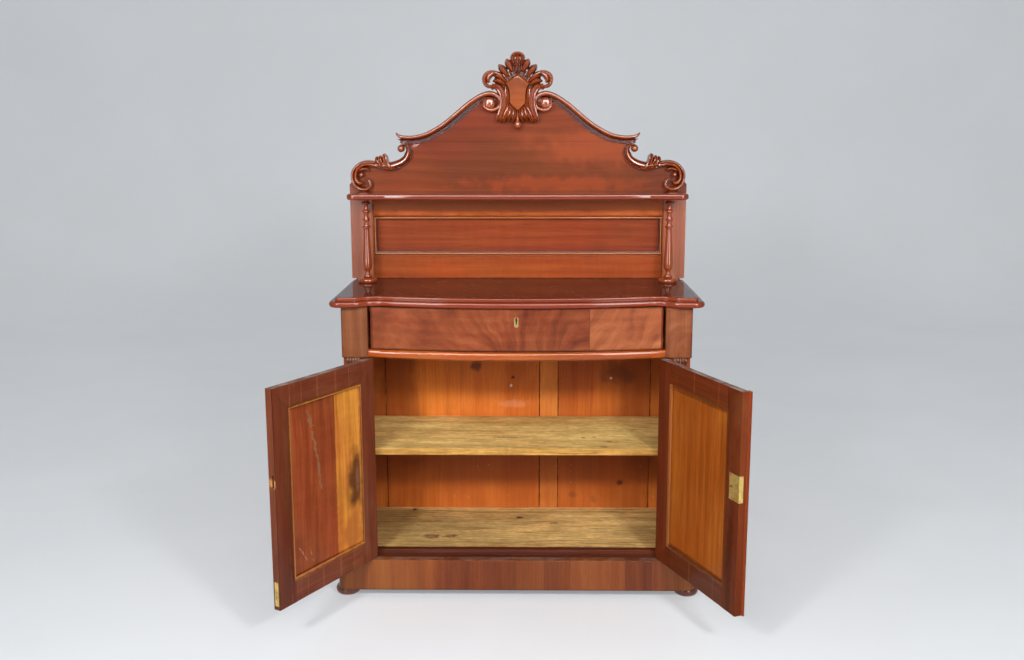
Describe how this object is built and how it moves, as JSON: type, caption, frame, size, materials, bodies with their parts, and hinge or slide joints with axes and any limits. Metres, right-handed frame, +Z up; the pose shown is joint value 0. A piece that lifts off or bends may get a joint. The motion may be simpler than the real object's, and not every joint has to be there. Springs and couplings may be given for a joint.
{
  "type": "chiffonier",
  "caption": "Polished cupboard with a bowed drawer, framed doors standing open, a shelf inside, and a gallery back with a shelf on turned columns and a carved crest",
  "frame": {"origin": "on the floor, midway across the carcase and midway through its depth", "axes": "+X to the right as seen from the front, +Y to the back, +Z up"},
  "size_m": [1.2837, 0.8431, 1.667],
  "materials": {
    "mahogany": "red-brown mahogany, french polished to a high gloss",
    "flame_veneer": "figured mahogany, polished",
    "interior_wood": "bare pine, aged and stained, matt",
    "brass": "aged brass, slightly dull",
    "steel": "plain dark steel"
  },
  "bodies": {
    "root": {"back_boards": "interior_wood", "base_rails": "interior_wood", "bun_feet": "mahogany", "cartouche": "mahogany", "column_left": "mahogany", "column_right": "mahogany", "corbels": "mahogany", "crest_board": "mahogany", "crest_rail_left": "mahogany", "crest_rail_right": "mahogany", "crest_scroll_left": "mahogany", "crest_scroll_right": "mahogany", "drawer_rail": "mahogany", "drawer_runners": "interior_wood", "dust_board": "interior_wood", "floor_board": "interior_wood", "floor_lipping": "mahogany", "frame_hinge_leaves": "brass", "frieze_block_left": "mahogany", "frieze_block_right": "mahogany", "gallery_bead": "mahogany", "gallery_panel": "flame_veneer", "gallery_rails": "mahogany", "gallery_shelf": "mahogany", "gallery_stiles": "mahogany", "hinge_pins": "steel", "kickers": "interior_wood", "main_top": "mahogany", "pilasters": "mahogany", "plinth_back": "interior_wood", "plinth_corner_blocks": "interior_wood", "plinth_front": "mahogany", "plinth_sides": "mahogany", "screws": "steel", "shelf": "interior_wood", "shelf_bearers": "interior_wood", "side_left": "mahogany", "side_right": "mahogany"},
    "left_door": {"left_door_stiles": "mahogany", "left_door_rails": "mahogany", "left_door_panel": "flame_veneer", "left_door_beads": "mahogany", "left_hinge_leaves": "brass", "flush_bolt_plate": "brass"},
    "right_door": {"right_door_stiles": "mahogany", "right_door_rails": "mahogany", "right_door_panel": "flame_veneer", "right_door_beads": "mahogany", "right_hinge_leaves": "brass", "right_door_astragal": "mahogany", "door_lock": "brass"},
    "drawer": {"drawer_front": "flame_veneer", "drawer_sides": "interior_wood", "drawer_back": "interior_wood", "drawer_bottom": "interior_wood", "escutcheon": "brass", "drawer_lock": "brass"},
    "flush_bolt": {"flush_bolt": "brass"},
    "door_lock_bolt": {"door_lock_bolt": "brass"},
    "drawer_lock_bolt": {"drawer_lock_bolt": "brass"}
  },
  "joints": [
    {"name": "left_door_hinge", "type": "hinge", "parent": "root", "child": "left_door", "pos_m": [-0.4455, -0.2035, 0.44], "axis": [0, 0, -1], "range_deg": [-119.2, 10.8]},
    {"name": "right_door_hinge", "type": "hinge", "parent": "root", "child": "right_door", "pos_m": [0.4455, -0.2035, 0.44], "axis": [0, 0, 1], "range_deg": [-112.2, 17.8]},
    {"name": "drawer_slide", "type": "slide", "parent": "root", "child": "drawer", "axis": [0, -1, 0], "range_m": [0, 0.25]},
    {"name": "flush_bolt_slide", "type": "slide", "parent": "left_door", "child": "flush_bolt", "axis": [0, 0, -1], "range_m": [0, 0.012]},
    {"name": "door_lock_bolt_slide", "type": "slide", "parent": "right_door", "child": "door_lock_bolt", "axis": [0.3778, -0.9259, 0], "range_m": [0, 0.008]},
    {"name": "drawer_lock_bolt_slide", "type": "slide", "parent": "drawer", "child": "drawer_lock_bolt", "axis": [0, 0, 1], "range_m": [0, 0.008]}
  ]
}
